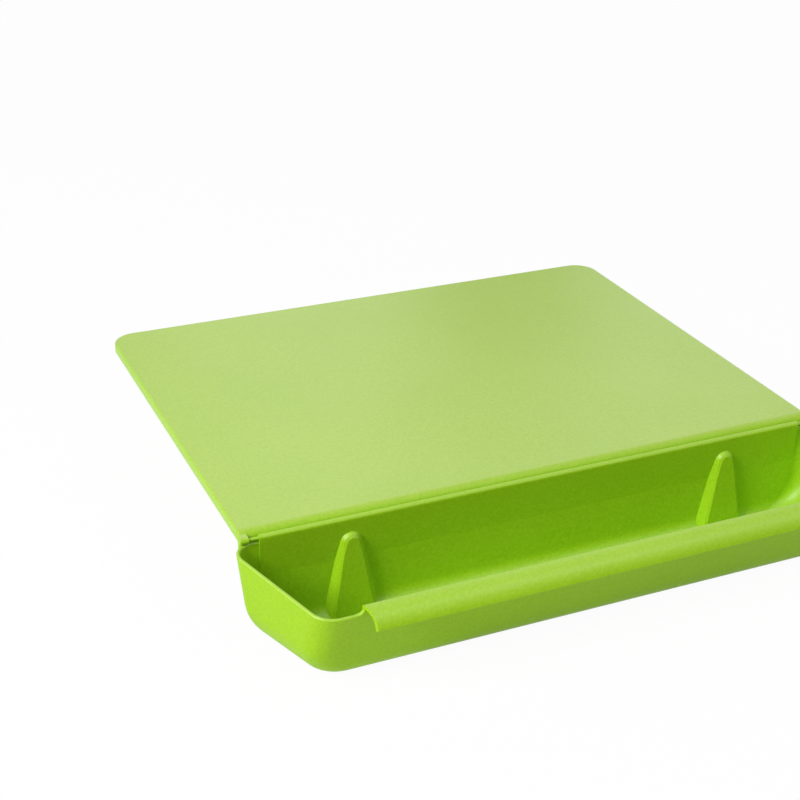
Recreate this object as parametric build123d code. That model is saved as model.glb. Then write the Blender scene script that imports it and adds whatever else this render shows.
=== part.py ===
"""Cutting board that lies on a worktop, with a scrap tray hinged along its front edge.

Millimetres. +X is to the right along the front edge, +Y to the rear, +Z up. The origin is on the
worktop's front top edge: z = 0 is the plane that the feet stand on, y = 0 is the rear face of the
board's front skirt, which stops against the worktop's edge, and x = 0 is the middle.
"""
from build123d import *
import os
from math import atan, cos, hypot, radians, sin, sqrt, tan

# Board
board_width = 380.0
board_depth = 282.5
board_edge = 6.0
panel_thickness = 3.0
board_wall = 2.4
front_skirt = 13.0
front_roll_radius = 5.5
rear_corner_radius = 16.0
top_edge_round = 1.2
skirt_edge_round = 0.8

# Ribs under the board
under_rib_thickness = 2.0
under_rib_setback = 0.6
under_rib_columns = 6
under_rib_rows = 4

# Feet
foot_width = 16.0
foot_proud = 1.0
foot_inset = 34.0
foot_edge_chamfer = 0.8

# Tray
tray_drop = 66.2
tray_wall = 2.2
tray_floor_depth = 59.0
tray_end_overhang = 2.5
end_wall_slant = 18.6
end_wall_draft = 6.2
front_wall_draft = 20.0
rear_wall_draft = 1.0
tray_rear_corner_radius = 11.0
tray_front_corner_radius = 15.0
end_foot_radius = 30.0
front_foot_radius = 20.001
rear_foot_radius = 12.0006
corner_land = 1.0
foot_round_steps = 10
rim_drop = 6.0
rim_fall = 4.7
rim_chamfer = 0.6

# Tapered ribs on the tray's rear wall
wall_rib_inset = 64.5
wall_rib_top_drop = 12.5
wall_rib_top_radius = 4.7
wall_rib_top_proud = 4.5
wall_rib_foot_width = 28.0
wall_rib_lean = 4.0
wall_rib_flank_draft = 28.0
wall_rib_bevel = 1.1

# Lip along the tray's front
lip_drop = 7.5
lip_radius = 10.4
lip_thickness = 2.0
lip_end_inset = 41.3
lip_end_slant = 16.0
lip_end_blend = 4.0
lip_crest_round = 1.2
lip_edge_round = 0.8

# Hinge
hinge_gap = 0.4
hinge_drop = 3.5
barrel_radius = 2.0
barrel_end_gap = 6.0
barrel_blend_drop = 32.0
lug_width = 4.0
lug_end_setback = 0.4
pin_radius = 1.0
pin_running_clearance = 0.05
pin_in_barrel = 13.6
pin_end_clearance = 0.6
pin_head_radius = 1.7
pin_head_thickness = 0.8

overrun = 2.0

# Places worked out from the sizes
top_z = board_edge + foot_proud
edge_z = top_z - board_edge
panel_z = top_z - panel_thickness
skirt_z = top_z - front_skirt
front_y = -board_wall
rear_y = front_y + board_depth
half_width = board_width / 2
tray_floor_half_width = half_width + tray_end_overhang

hinge_z = top_z - hinge_drop
tray_back_y = front_y - hinge_gap
hinge_y = tray_back_y - barrel_radius
rim_z = top_z - rim_drop
floor_z = top_z - tray_drop
tray_floor_back_y = tray_back_y - (rim_z - floor_z) * tan(radians(rear_wall_draft))
tray_floor_front_y = tray_floor_back_y - tray_floor_depth
front_foot_run = front_foot_radius * tan(radians(90 - front_wall_draft) / 2)
rear_foot_run = rear_foot_radius * tan(radians(90 - rear_wall_draft) / 2)
floor_end_length = (tray_floor_depth - front_foot_run - rear_foot_run) / cos(radians(end_wall_slant))
rear_corner_run = tray_rear_corner_radius / tan(radians(90 - end_wall_slant) / 2)
front_corner_run = tray_front_corner_radius / tan(radians(90 + end_wall_slant) / 2)
corner_fit_share = min(1, (floor_end_length - corner_land) / (rear_corner_run + front_corner_run))
tray_rear_corner = tray_rear_corner_radius * corner_fit_share
tray_front_corner = tray_front_corner_radius * corner_fit_share
end_draft = atan(tan(radians(end_wall_draft)) * cos(radians(end_wall_slant)))
front_slope = tan(radians(front_wall_draft))
rim_slope = tan(radians(rim_fall))
front_rim_run = front_slope * (rim_z - rim_slope * tray_back_y - floor_z)
front_rim_y = (tray_floor_front_y - front_rim_run) / (1 + front_slope * rim_slope)
front_rim_z = rim_z + rim_slope * (front_rim_y - tray_back_y)
lip_z = top_z - lip_drop
lip_length = board_width - 2 * lip_end_inset
lug_outer_x = half_width - lug_end_setback
barrel_length = 2 * (lug_outer_x - lug_width - barrel_end_gap)
pin_tip_x = barrel_length / 2 - pin_in_barrel


def front_wall_y(z):
    """Outer face of the tray's front wall at a height."""
    return tray_floor_front_y - (z - floor_z) * front_slope


def under_rib(length, height):
    return Box(length, under_rib_thickness, height, align=(Align.CENTER, Align.CENTER, Align.MIN))


def foot_places():
    near = front_y + foot_inset
    far = rear_y - foot_inset
    side = half_width - foot_inset
    return {
        "front_left": (-side, near),
        "front_right": (side, near),
        "rear_left": (-side, far),
        "rear_right": (side, far),
    }


def board_plan(inset):
    """Plan of the board with rounded rear corners, drawn in from its edge on all sides."""
    width = board_width - 2 * inset
    depth = board_depth - 2 * inset
    plan = Pos(0, (front_y + rear_y) / 2) * Rectangle(width, depth)
    return fillet(plan.vertices().group_by(Axis.Y)[-1], rear_corner_radius - inset)


def board_ribs():
    """Grid of ribs under the panel."""
    low = edge_z + under_rib_setback
    height = panel_z - low
    ribs = Part()
    for row in range(under_rib_rows):
        y = front_y + board_depth * (row + 1) / (under_rib_rows + 1)
        ribs += Pos(0, y, low) * under_rib(board_width, height)
    for column in range(under_rib_columns):
        x = -half_width + board_width * (column + 1) / (under_rib_columns + 1)
        middle = Pos(x, (front_y + rear_y) / 2, low)
        ribs += middle * Rot(Z=90) * under_rib(board_depth, height)
    inside = Pos(0, 0, low) * extrude(board_plan(board_wall / 2), height)
    return ribs & inside


def hinge_lug(side):
    """Lug that drops from one end of the board's rolled front edge and holds a hinge pin."""
    web_depth = board_wall + hinge_gap + barrel_radius
    eye = Circle(barrel_radius)
    web = Pos(web_depth / 2, 0) * Rectangle(web_depth, 2 * barrel_radius)
    section = eye + web - Circle(pin_radius)
    middle_x = side * (lug_outer_x - lug_width / 2)
    frame = Plane(origin=(middle_x, hinge_y, hinge_z), x_dir=(0, 1, 0), z_dir=(1, 0, 0))
    return extrude(frame * section, lug_width / 2, both=True)


def make_board():
    body = Pos(0, 0, edge_z) * extrude(board_plan(0), board_edge)
    skirt_height = top_z - skirt_z
    skirt = Box(board_width, board_wall, skirt_height, align=(Align.CENTER, Align.MIN, Align.MIN))
    body += Pos(0, front_y, skirt_z) * skirt
    front_edge = body.faces().sort_by(Axis.Z)[-1].edges().sort_by(Axis.Y)[0]
    body = fillet(front_edge, front_roll_radius)
    top_edges = body.faces().sort_by(Axis.Z)[-1].edges().sort_by(Axis.Y)[1:]
    body = fillet(top_edges, top_edge_round)
    skirt_edges = body.faces().sort_by(Axis.Z)[0].edges().filter_by(Axis.X)
    body = fillet(skirt_edges, skirt_edge_round)
    pocket_depth = panel_z - edge_z
    body -= Pos(0, 0, edge_z) * extrude(board_plan(board_wall), pocket_depth)
    body += board_ribs()
    for side in (-1, 1):
        body += hinge_lug(side)
    return body


def make_foot(x, y):
    """Square rubber pad bonded to the panel's underside, between the ribs."""
    pad = Pos(x, y) * Box(foot_width, foot_width, panel_z, align=(Align.CENTER, Align.CENTER, Align.MIN))
    return chamfer(pad.faces().sort_by(Axis.Z)[0].edges(), foot_edge_chamfer)


def make_pin(side):
    """Headed peg, pressed into the board's lug, on which one end of the tray's barrel turns."""
    shaft_length = lug_outer_x - pin_tip_x
    axis = Plane(origin=(side * pin_tip_x, hinge_y, hinge_z), z_dir=(side, 0, 0))
    shaft = extrude(axis * Circle(pin_radius), shaft_length)
    head = extrude(axis.offset(shaft_length) * Circle(pin_head_radius), pin_head_thickness)
    return shaft + head


def wall_offset(height, inset, draft, foot_radius):
    """How far a wall stands out from its sharp foot line, at a height over the inset floor."""
    radius = foot_radius - inset
    run = radius * tan((radians(90) - draft) / 2)
    foot = inset * tan(draft) - inset / cos(draft)
    if height < run * cos(draft):
        return foot - run + sqrt(radius**2 - (radius - height) ** 2)
    return foot + height * tan(draft)


def tray_section(height, inset):
    """Plan of the tray's outer faces, drawn in by an inset, at a height over the inset floor."""
    slant = tan(radians(end_wall_slant))
    back_out = wall_offset(height, inset, radians(rear_wall_draft), rear_foot_radius)
    front_out = wall_offset(height, inset, radians(front_wall_draft), front_foot_radius)
    end_out = wall_offset(height, inset, end_draft, end_foot_radius)
    back = tray_floor_back_y + back_out
    front = tray_floor_front_y - front_out
    half = tray_floor_half_width + hypot(1, slant) * end_out
    half_back = half + slant * back_out
    half_front = half - slant * (tray_floor_back_y - front)
    corners = [(-half_back, back), (-half_front, front), (half_front, front), (half_back, back)]
    plan = Polygon(*corners, align=None)
    plan = fillet(plan.vertices().sort_by(Axis.Y)[:2], tray_front_corner - inset)
    plan = fillet(plan.vertices().sort_by(Axis.Y)[-2:], tray_rear_corner - inset)
    return Pos(0, 0, floor_z + inset + height) * plan


def tray_walls(inset):
    """Block between the tray's drafted wall planes, drawn in by an inset, with rounded uprights."""
    slant = tan(radians(end_wall_slant))
    end_rise = tan(radians(end_wall_draft))
    walls = [
        ((0, tray_floor_back_y, floor_z), (0, 1, -tan(radians(rear_wall_draft)))),
        ((0, tray_floor_front_y, floor_z), (0, -1, -front_slope)),
        ((-tray_floor_half_width, tray_floor_back_y, floor_z), (-1, -slant, -end_rise)),
        ((tray_floor_half_width, tray_floor_back_y, floor_z), (1, -slant, -end_rise)),
    ]
    span = 3 * tray_floor_half_width
    height = top_z - floor_z
    block = Pos(0, 0, floor_z) * Box(span, span, height, align=(Align.CENTER, Align.CENTER, Align.MIN))
    for origin, outward in walls:
        wall = Plane(origin=origin, z_dir=outward).offset(-inset)
        block = split(block, bisect_by=wall, keep=Keep.BOTTOM)
    rear_uprights = upright_edges(block)[2:]
    block = fillet(rear_uprights, tray_rear_corner - inset)
    front_uprights = upright_edges(block)[:2]
    return fillet(front_uprights, tray_front_corner - inset)


def upright_edges(block):
    """Edges that rise from the floor, from the front to the rear."""
    return block.edges().filter_by(lambda edge: abs(edge.tangent_at(0.5).Z) > 0.5).sort_by(Axis.Y)


def tray_block(inset):
    """Walls with rounded feet: straight above the end walls' rounds, lofted to the floor below."""
    turn = radians(90) - end_draft
    radius = end_foot_radius - inset
    base_z = floor_z + inset
    level = Plane(origin=(0, 0, base_z + radius * (1 - cos(turn))), z_dir=(0, 0, 1))
    walls = split(tray_walls(inset), bisect_by=level, keep=Keep.TOP)
    turns = [turn * step / foot_round_steps for step in range(foot_round_steps)]
    sections = [tray_section(radius * (1 - cos(part)), inset) for part in turns]
    sections.append(walls.faces().sort_by(Axis.Z)[0])
    return walls + loft(sections)


def tray_shell():
    """Open box with drafted walls, rounded corners and a rim that falls towards the front."""
    shell = tray_block(0) - tray_block(tray_wall)
    fall = radians(rim_fall)
    up = (0, -sin(fall), cos(fall))
    rim_plane = Plane(origin=(0, tray_back_y, rim_z), x_dir=(1, 0, 0), z_dir=up)
    shell = split(shell, bisect_by=rim_plane, keep=Keep.BOTTOM)
    rim = shell.faces().sort_by(Axis((0, 0, 0), up))[-1]
    return chamfer(rim.edges(), rim_chamfer)


def hinge_barrel():
    """Raised middle of the rear rim, thickened to a barrel with a blind hole at each end."""
    inner_x = barrel_radius - tray_wall
    root = Line((inner_x, -barrel_blend_drop), (inner_x + tray_wall / 2, -barrel_blend_drop))
    section = make_hull(Circle(barrel_radius).edges() + [root])
    frame = Plane(origin=(0, hinge_y, hinge_z), x_dir=(0, 1, 0), z_dir=(1, 0, 0))
    barrel = extrude(frame * section, barrel_length / 2, both=True)
    bore = Circle(pin_radius + pin_running_clearance)
    bore_depth = pin_in_barrel + pin_end_clearance
    for side in (-1, 1):
        mouth = Plane(origin=(side * barrel_length / 2, hinge_y, hinge_z), z_dir=(-side, 0, 0))
        barrel -= extrude(mouth * bore, bore_depth)
    return barrel


def rib_prism(x, inset, setback):
    """Tapered outline with a round top, carried below the floor and widening towards the rear."""
    lean = radians(wall_rib_lean)
    top_y = tray_back_y - tray_wall - wall_rib_top_proud
    rearward = (0, cos(lean), -sin(lean))
    face = Plane(origin=(x, top_y, top_z - wall_rib_top_drop), x_dir=(1, 0, 0), z_dir=rearward)
    to_floor = (tray_drop - wall_rib_top_drop) / cos(lean)
    run = to_floor + tray_wall
    spread = (wall_rib_foot_width / 2 - wall_rib_top_radius) / (to_floor - wall_rib_top_radius)
    half_foot = wall_rib_foot_width / 2 + tray_wall * spread - inset
    top = Pos(0, wall_rib_top_radius) * Circle(wall_rib_top_radius - inset)
    foot = Line((-half_foot, run), (half_foot, run))
    outline = make_hull(top.edges() + [foot])
    depth = wall_rib_top_proud + run * sin(lean) + tray_wall - setback
    return extrude(face.offset(setback) * outline, depth, taper=-wall_rib_flank_draft)


def wall_rib(x):
    """Rib with sloping flanks that stands out from the inner face of the rear wall."""
    rib = rib_prism(x, 0, 0)
    return chamfer(rib.faces().sort_by(Axis.Y)[0].edges(), wall_rib_bevel)


def wall_rib_hollow(x):
    """Hollow behind a rib, which keeps the wall's thickness even."""
    draft = radians(wall_rib_flank_draft)
    inset = tray_wall * (1 - sin(draft)) / cos(draft)
    return rib_prism(x, inset, tray_wall)


def front_lip():
    """Riser on the front wall that curls forward and down as a finger grip."""
    across = tray_wall / cos(radians(front_wall_draft))
    root_z = front_rim_z - overrun
    inner_y = front_rim_y + across
    root_y = front_wall_y(root_z)
    outer_root = (root_y, root_z)
    inner_root = (root_y + across, root_z)
    outer_rim = (front_rim_y, front_rim_z)
    inner_rim = (inner_y, front_rim_z)
    crest = (front_rim_y, lip_z)
    inner_crest = (inner_y, lip_z)
    turn = (front_rim_y, lip_z - lip_radius)
    inner_radius = lip_radius - lip_thickness
    outline = [
        Polyline(inner_root, inner_rim, inner_crest, crest),
        CenterArc(turn, lip_radius, 90, 90),
        Line((front_rim_y - lip_radius, turn[1]), (front_rim_y - inner_radius, turn[1])),
        CenterArc(turn, inner_radius, 90, 90),
        Polyline((front_rim_y, lip_z - lip_thickness), outer_rim, outer_root, inner_root),
    ]
    section = make_face(outline)
    tip = section.vertices().sort_by(Axis.X)[:2]
    section = fillet(tip, lip_edge_round)
    crest_corner = section.vertices().sort_by_distance((inner_y, lip_z, 0))[0]
    section = fillet(crest_corner, lip_crest_round)
    side_view = Plane(origin=(0, 0, 0), x_dir=(0, 1, 0), z_dir=(1, 0, 0))
    lip = extrude(side_view * section, lip_length, both=True)
    reach = lip_radius + overrun
    back = across + overrun
    taper = tan(radians(lip_end_slant))
    half = lip_length / 2
    plan = Polygon(
        (-half - back * taper, front_rim_y + back),
        (-half + reach * taper, front_rim_y - reach),
        (half - reach * taper, front_rim_y - reach),
        (half + back * taper, front_rim_y + back),
        align=None,
    )
    lip &= Pos(0, 0, floor_z) * extrude(plan, top_z - floor_z)
    riser = Polygon(outer_root, outer_rim, crest, inner_crest, inner_rim, inner_root, align=None)
    end = half + lip_end_blend
    rise = front_rim_z + lip_end_blend
    bridge = make_face([
        CenterArc((end, rise), lip_end_blend, 180, 90),
        CenterArc((-end, rise), lip_end_blend, 270, 90),
        Line((-half, rise), (half, rise)),
        Polyline((-end, front_rim_z), (-end, root_z), (end, root_z), (end, front_rim_z)),
    ])
    front_view = Plane(origin=(0, front_rim_y, 0), x_dir=(1, 0, 0), z_dir=(0, -1, 0))
    blends = extrude(side_view * riser, end, both=True)
    return lip + (blends & extrude(front_view * bridge, back, both=True))


def make_tray():
    tray = tray_shell()
    tray += hinge_barrel()
    within = tray_block(tray_wall / 2)
    for side in (-1, 1):
        rib_x = side * (half_width - wall_rib_inset)
        tray += wall_rib(rib_x) & within
        tray -= wall_rib_hollow(rib_x)
    tray += front_lip()
    return tray


parts = {
    "board": make_board(),
    "tray": make_tray(),
    "hinge_pin_left": make_pin(-1),
    "hinge_pin_right": make_pin(1),
}
for place, (foot_x, foot_y) in foot_places().items():
    parts[f"foot_{place}"] = make_foot(foot_x, foot_y)

os.makedirs("parts", exist_ok=True)
for name, solid in parts.items():
    export_step(solid, f"parts/{name}.step")
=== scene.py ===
from math import radians

import bpy
from mathutils import Euler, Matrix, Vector


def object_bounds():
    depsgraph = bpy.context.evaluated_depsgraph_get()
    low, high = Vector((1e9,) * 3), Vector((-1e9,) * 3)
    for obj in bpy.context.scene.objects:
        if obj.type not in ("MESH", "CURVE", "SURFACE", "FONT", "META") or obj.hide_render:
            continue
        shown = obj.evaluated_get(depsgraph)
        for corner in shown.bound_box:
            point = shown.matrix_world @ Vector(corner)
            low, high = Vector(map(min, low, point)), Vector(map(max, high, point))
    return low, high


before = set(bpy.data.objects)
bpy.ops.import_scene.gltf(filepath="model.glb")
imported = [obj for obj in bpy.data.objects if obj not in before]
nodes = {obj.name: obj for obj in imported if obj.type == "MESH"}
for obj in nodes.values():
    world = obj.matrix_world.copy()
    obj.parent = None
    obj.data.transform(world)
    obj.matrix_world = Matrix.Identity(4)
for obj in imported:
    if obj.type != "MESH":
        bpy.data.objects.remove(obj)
cad_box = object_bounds()
scene = bpy.context.scene

# Camera, fitted to the photograph: places in metres, roll in degrees, lens and sensor in millimetres
CAMERA_PLACE = (-0.4032, -0.6846, 0.4466)
CAMERA_LOOKS_AT = (-0.0427, 0.1138, 0.0070)
CAMERA_ROLL = 1.05
CAMERA_LENS = 68.67
SENSOR_WIDTH = 36.0

# Colours, as linear values
# Board's cutting face: paler where it faces up, a painted sheen on the hazy top
FACE_SHEEN_GREEN = (0.436, 0.642, 0.074)
FACE_SHEEN_GREEN_DEEP = (0.376, 0.582, 0.046)
TRAY_GREEN = (0.375, 0.640, 0.018)
TRAY_GREEN_DEEP = (0.310, 0.565, 0.006)
# Tray where it faces up: paler, a painted sheen
TRAY_SHEEN_GREEN = (0.392, 0.645, 0.032)
TRAY_SHEEN_GREEN_DEEP = (0.327, 0.572, 0.018)
RUBBER_PALE = (0.62, 0.64, 0.60)
RUBBER_DARK = (0.52, 0.54, 0.50)
WHITE = (1.0, 1.0, 1.0)
FLOOR_PALE = (0.90, 0.90, 0.90)
CARD_GREY = (0.05, 0.05, 0.05)

# Finish: noise scales in cycles per metre, depths in metres, turns as upward parts of a normal
BOARD_ROUGHNESS = (0.30, 0.38)
TRAY_ROUGHNESS = (0.40, 0.52)
RUBBER_ROUGHNESS = (0.72, 0.88)
CARD_ROUGHNESS = 0.9
FACE_IOR = 1.58
EDGE_IOR = 1.40
EDGE_TURN = (0.70, 0.98)
WALL_IOR = 1.22
# Where the tray faces up: glossier, and paler by a painted sheen
TRAY_SHEEN_IOR = 1.64
TRAY_SHEEN_TURN = (0.20, 0.70)
NOISE_MIDDLE = (0.36, 0.64)
GRAIN_SCALE = 620.0
GRAIN_DEPTH = 0.00008
SPECKLE_SHARE = 0.7
DRIFT_SCALE = 9.0
SCUFF_SCALE = 26.0
SWELL_SCALE = 34.0
SWELL_DEPTH = 0.0004
SWELL_STRENGTH = 0.25
DUST_SCALE = 160.0
RUBBER_GLOSS_SCALE = 90.0
RUBBER_GRAIN_SCALE = 2200.0
RUBBER_GRAIN_DEPTH = 0.0001
RUBBER_GRAIN_STRENGTH = 0.6

# Light: places and sizes in metres, powers in watts
AMBIENT_STRENGTH = 0.30
FLOOR_SHOWN_WHITE = 0.96
FLOOR_WIDTH = 12.0
SOFTBOXES = {
    "left_softbox": {"place": (-1.60, -0.40, 1.28), "size": 0.8, "power": 36.0},
    "rear_softbox": {"place": (0.75, 1.50, 1.10), "size": 1.2, "power": 3.2},
    "front_softbox": {"place": (0.48, -0.65, 0.95), "size": 0.6, "power": 1.8},
}
CARD_SPOT_SHARES = (0.757, 0.919)
CARD_DISTANCE = 1.0
CARD_WIDTH = 0.21


def node_tree(name):
    """A new material with its tree cleared, and the tree's shader and output joined."""
    material = bpy.data.materials.new(name)
    material.use_nodes = True
    tree = material.node_tree
    tree.nodes.clear()
    output = tree.nodes.new("ShaderNodeOutputMaterial")
    shader = tree.nodes.new("ShaderNodeBsdfPrincipled")
    tree.links.new(shader.outputs["BSDF"], output.inputs["Surface"])
    return material, tree, shader


def noise(tree, scale, detail, roughness=0.5):
    """Noise over the object's own place, in cycles per metre."""
    place = tree.nodes.new("ShaderNodeTexCoord")
    texture = tree.nodes.new("ShaderNodeTexNoise")
    texture.inputs["Scale"].default_value = scale
    texture.inputs["Detail"].default_value = detail
    texture.inputs["Roughness"].default_value = roughness
    tree.links.new(place.outputs["Object"], texture.inputs["Vector"])
    return texture.outputs["Fac"]


def ramp(tree, value, low, high, span=NOISE_MIDDLE):
    """Maps a span of values, usually the middle of a noise, to a range of numbers."""
    mapped = tree.nodes.new("ShaderNodeMapRange")
    span_start, span_end = span
    mapped.inputs["From Min"].default_value = span_start
    mapped.inputs["From Max"].default_value = span_end
    mapped.inputs["To Min"].default_value = low
    mapped.inputs["To Max"].default_value = high
    tree.links.new(value, mapped.inputs["Value"])
    return mapped.outputs["Result"]


def blend(tree, factor, first, second):
    """Mixes two colours, each a value or another node's output, by a factor."""
    mix = tree.nodes.new("ShaderNodeMix")
    mix.data_type = "RGBA"
    for socket, colour in ((mix.inputs["A"], first), (mix.inputs["B"], second)):
        if isinstance(colour, tuple):
            socket.default_value = (*colour, 1.0)
        else:
            tree.links.new(colour, socket)
    tree.links.new(factor, mix.inputs["Factor"])
    return mix.outputs["Result"]


def bump(tree, height, distance, strength, below=None):
    """A bump of a height in metres, on top of another one where it is given."""
    node = tree.nodes.new("ShaderNodeBump")
    node.inputs["Distance"].default_value = distance
    node.inputs["Strength"].default_value = strength
    tree.links.new(height, node.inputs["Height"])
    if below is not None:
        tree.links.new(below, node.inputs["Normal"])
    return node.outputs["Normal"]


def between(tree, first, second, share):
    """A value part of the way from the first to the second."""
    mix = tree.nodes.new("ShaderNodeMix")
    mix.inputs["Factor"].default_value = share
    tree.links.new(first, mix.inputs["A"])
    tree.links.new(second, mix.inputs["B"])
    return mix.outputs["Result"]


def moulded_plastic(name, rough_range):
    """Moulded polypropylene: slow drift of tone, scuffed gloss and a fine speckled grain."""
    material, tree, shader = node_tree(name)
    grain = noise(tree, GRAIN_SCALE, detail=2.0, roughness=0.6)
    drift = noise(tree, DRIFT_SCALE, detail=3.0)
    tone = ramp(tree, between(tree, drift, grain, SPECKLE_SHARE), 1.0, 0.0)
    smudges = noise(tree, SCUFF_SCALE, detail=5.0, roughness=0.65)
    scuffs = between(tree, smudges, grain, SPECKLE_SHARE)
    tree.links.new(ramp(tree, scuffs, *rough_range), shader.inputs["Roughness"])
    swell = bump(tree, noise(tree, SWELL_SCALE, detail=2.0), SWELL_DEPTH, SWELL_STRENGTH)
    tree.links.new(bump(tree, grain, GRAIN_DEPTH, 1.0, swell), shader.inputs["Normal"])
    return material, tree, shader, tone


def facing_up(tree, turn, low=0.0, high=1.0):
    """A value that grows from low to high where the piece's surface turns to face up."""
    place = tree.nodes.new("ShaderNodeTexCoord")
    split = tree.nodes.new("ShaderNodeSeparateXYZ")
    tree.links.new(place.outputs["Normal"], split.inputs["Vector"])
    return ramp(tree, split.outputs["Z"], low, high, turn)


def board_plastic():
    """The tray's plastic, smooth over the edges, with a hazy cutting face on top that is painted
    paler where it faces up: a painted sheen.
    """
    material, tree, shader, tone = moulded_plastic("board_plastic", BOARD_ROUGHNESS)
    edge = blend(tree, tone, TRAY_GREEN, TRAY_GREEN_DEEP)
    face = blend(tree, tone, FACE_SHEEN_GREEN, FACE_SHEEN_GREEN_DEEP)
    # Paler colour where the board faces up: painted sheen
    tree.links.new(blend(tree, facing_up(tree, EDGE_TURN), edge, face), shader.inputs["Base Color"])
    tree.links.new(facing_up(tree, EDGE_TURN, EDGE_IOR, FACE_IOR), shader.inputs["IOR"])
    return material


def tray_plastic():
    """The same plastic with a satin finish, painted paler where it faces up: a painted sheen on the
    lip, rim and rounds.
    """
    material, tree, shader, tone = moulded_plastic("tray_plastic", TRAY_ROUGHNESS)
    wall = blend(tree, tone, TRAY_GREEN, TRAY_GREEN_DEEP)
    sheen = blend(tree, tone, TRAY_SHEEN_GREEN, TRAY_SHEEN_GREEN_DEEP)
    # Paler colour where the tray faces up: painted sheen
    tree.links.new(blend(tree, facing_up(tree, TRAY_SHEEN_TURN), wall, sheen), shader.inputs["Base Color"])
    tree.links.new(facing_up(tree, TRAY_SHEEN_TURN, WALL_IOR, TRAY_SHEEN_IOR), shader.inputs["IOR"])
    return material


def foot_rubber():
    """Pale anti-slip rubber with a matt, dusty surface."""
    material, tree, shader = node_tree("foot_rubber")
    dust = ramp(tree, noise(tree, DUST_SCALE, detail=4.0, roughness=0.7), 0.0, 1.0)
    tree.links.new(blend(tree, dust, RUBBER_PALE, RUBBER_DARK), shader.inputs["Base Color"])
    gloss = ramp(tree, noise(tree, RUBBER_GLOSS_SCALE, detail=3.0), *RUBBER_ROUGHNESS)
    tree.links.new(gloss, shader.inputs["Roughness"])
    pores = noise(tree, RUBBER_GRAIN_SCALE, detail=2.0)
    grain = bump(tree, pores, RUBBER_GRAIN_DEPTH, RUBBER_GRAIN_STRENGTH)
    tree.links.new(grain, shader.inputs["Normal"])
    return material


def dress(material, *names):
    """Puts a material in place of the plain one on each named node."""
    for name in names:
        slots = nodes[name].data.materials
        slots.clear()
        slots.append(material)


def seen_white(tree, share):
    """How white a ray shows the backdrop: seen straight, mirrored or through glass."""
    path = tree.nodes.new("ShaderNodeLightPath")
    total = None
    for ray in ("Is Camera Ray", "Is Glossy Ray", "Is Transmission Ray"):
        add = tree.nodes.new("ShaderNodeMath")
        add.operation = "MULTIPLY_ADD"
        add.use_clamp = True
        tree.links.new(path.outputs[ray], add.inputs[0])
        add.inputs[1].default_value = share
        add.inputs[2].default_value = 0.0
        if total is not None:
            tree.links.new(total, add.inputs[2])
        total = add.outputs["Value"]
    return total


def light_world():
    """A soft even sky that shows as white."""
    world = bpy.data.worlds.new("studio")
    scene.world = world
    world.use_nodes = True
    tree = world.node_tree
    tree.nodes.clear()
    output = tree.nodes.new("ShaderNodeOutputWorld")
    background = tree.nodes.new("ShaderNodeBackground")
    background.inputs["Color"].default_value = (*WHITE, 1.0)
    strength = tree.nodes.new("ShaderNodeMapRange")
    strength.inputs["To Min"].default_value = AMBIENT_STRENGTH
    strength.inputs["To Max"].default_value = 1.0
    tree.links.new(seen_white(tree, 1.0), strength.inputs["Value"])
    tree.links.new(strength.outputs["Result"], background.inputs["Strength"])
    tree.links.new(background.outputs["Background"], output.inputs["Surface"])


def lay_floor(height):
    """A plain pale floor that shows nearly white and keeps a faint shadow."""
    bpy.ops.mesh.primitive_plane_add(size=FLOOR_WIDTH, location=(0.0, 0.0, height))
    floor = bpy.context.object
    floor.name = "studio_floor"
    material = bpy.data.materials.new("studio_floor")
    material.use_nodes = True
    tree = material.node_tree
    tree.nodes.clear()
    output = tree.nodes.new("ShaderNodeOutputMaterial")
    diffuse = tree.nodes.new("ShaderNodeBsdfDiffuse")
    diffuse.inputs["Color"].default_value = (*FLOOR_PALE, 1.0)
    shown = tree.nodes.new("ShaderNodeEmission")
    shown.inputs["Color"].default_value = (*WHITE, 1.0)
    mix = tree.nodes.new("ShaderNodeMixShader")
    tree.links.new(seen_white(tree, FLOOR_SHOWN_WHITE), mix.inputs["Fac"])
    tree.links.new(diffuse.outputs["BSDF"], mix.inputs[1])
    tree.links.new(shown.outputs["Emission"], mix.inputs[2])
    tree.links.new(mix.outputs["Shader"], output.inputs["Surface"])
    floor.data.materials.append(material)


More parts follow.
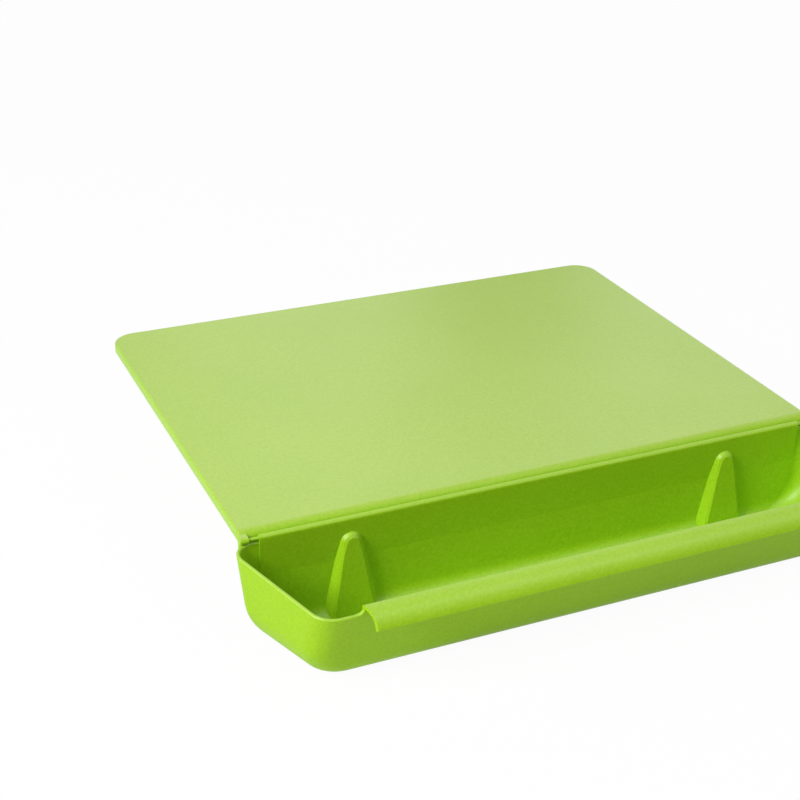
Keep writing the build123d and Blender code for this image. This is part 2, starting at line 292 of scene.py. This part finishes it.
def dark_card(name, spot):
    """A dark card outside the picture, where the camera sees it mirrored at a spot on the board."""
    mirrored = (spot - Vector(CAMERA_PLACE)) * Vector((1.0, 1.0, -1.0))
    place = spot + CARD_DISTANCE * mirrored.normalized()
    turn = (spot - place).to_track_quat("Z", "Y").to_euler()
    bpy.ops.mesh.primitive_plane_add(size=CARD_WIDTH, location=place, rotation=turn)
    card = bpy.context.object
    card.name = name
    material, _, shader = node_tree(name)
    shader.inputs["Base Color"].default_value = (*CARD_GREY, 1.0)
    shader.inputs["Roughness"].default_value = CARD_ROUGHNESS
    card.data.materials.append(material)


def softbox(name, place, target, size, power):
    """A square area lamp turned to a target."""
    lamp = bpy.data.lights.new(name, "AREA")
    lamp.shape = "SQUARE"
    lamp.size = size
    lamp.energy = power
    holder = bpy.data.objects.new(name, lamp)
    holder.location = place
    holder.rotation_euler = (Vector(target) - Vector(place)).to_track_quat("-Z", "Y").to_euler()
    scene.collection.objects.link(holder)


def set_camera():
    """The photograph's view."""
    camera = bpy.data.cameras.new("camera")
    camera.lens = CAMERA_LENS
    camera.sensor_fit = "HORIZONTAL"
    camera.sensor_width = SENSOR_WIDTH
    holder = bpy.data.objects.new("camera", camera)
    place = Vector(CAMERA_PLACE)
    aim = (Vector(CAMERA_LOOKS_AT) - place).to_track_quat("-Z", "Y")
    roll = Euler((0.0, 0.0, radians(CAMERA_ROLL))).to_quaternion()
    holder.location = place
    holder.rotation_euler = (aim @ roll).to_euler()
    scene.collection.objects.link(holder)
    scene.camera = holder


dress(board_plastic(), "board")
dress(tray_plastic(), "tray", "hinge_pin_left", "hinge_pin_right")
dress(foot_rubber(), *[name for name in nodes if name.startswith("foot_")])

low, high = (Vector(corner) for corner in cad_box)
light_world()
lay_floor(low.z)
for name, box in SOFTBOXES.items():
    softbox(name, box["place"], (low + high) / 2, box["size"], box["power"])
card_spot = [a + share * (b - a) for a, b, share in zip(low, high, CARD_SPOT_SHARES)]
dark_card("rear_card", Vector((*card_spot, high.z)))
set_camera()

scene.view_settings.view_transform = "Standard"
